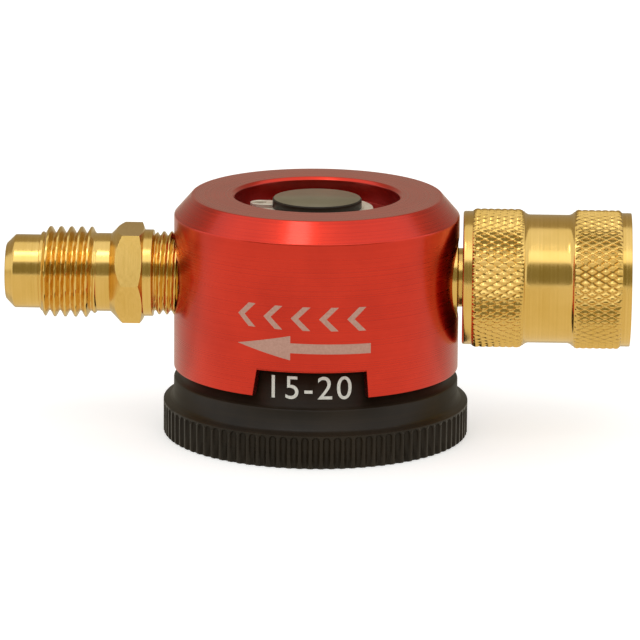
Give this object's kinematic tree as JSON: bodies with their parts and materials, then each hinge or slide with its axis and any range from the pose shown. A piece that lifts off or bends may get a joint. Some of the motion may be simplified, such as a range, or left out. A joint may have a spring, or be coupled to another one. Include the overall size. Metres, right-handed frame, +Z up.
{
  "type": "nitrogen flow regulator",
  "caption": "Rotary flow selector for nitrogen: red turned body, black ribbed dial below it, brass flare outlet on one side and a knurled swivel inlet nut on the other.",
  "frame": {"origin": "centre of the dial's flat bottom face, on the spool's axis", "axes": "+Z up along the spool, +X along the ports towards the inlet nut, -Y towards the side with the window"},
  "size_m": [0.0766, 0.0374, 0.0298],
  "materials": {
    "red_anodised": "satin, dyed red, turned marks",
    "black_anodised": "semi-matt, dyed black",
    "brass": "bright turned",
    "steel": "bright",
    "spring_steel": "bright",
    "ptfe": "smooth white",
    "rubber": "matt black",
    "sintered_bronze": "grainy"
  },
  "bodies": {
    "housing": {"body": "red_anodised", "thrust_washer": "ptfe", "detent_ball": "steel", "detent_spring": "spring_steel", "stop_pin": "steel", "flare_fitting": "brass", "inlet_stem": "brass", "inlet_filter": "sintered_bronze", "seat_gasket": "ptfe", "inlet_seat": "ptfe", "inlet_seat_o_ring": "rubber", "inlet_seat_spring": "spring_steel", "outlet_seat": "ptfe", "outlet_seat_o_ring": "rubber", "outlet_seat_spring": "spring_steel"},
    "selector": {"selector_dial": "black_anodised", "selector_spool": "black_anodised", "dial_screws": "steel", "circlip": "spring_steel", "spool_o_ring_lower": "rubber", "spool_o_ring_upper": "rubber", "jet_small": "brass", "jet_medium": "brass", "jet_large": "brass"},
    "swivel": {"swivel_nut": "brass", "swivel_ring": "spring_steel"}
  },
  "joints": [
    {"name": "dial_turn", "type": "hinge", "parent": "housing", "child": "selector", "pos_m": [0, 0, 0], "axis": [0, 0, 1], "range_deg": [-60, 60]},
    {"name": "nut_swivel", "type": "hinge", "parent": "housing", "child": "swivel", "pos_m": [0.0286, 0, 0.0196], "axis": [1, 0, 0], "continuous": true}
  ]
}
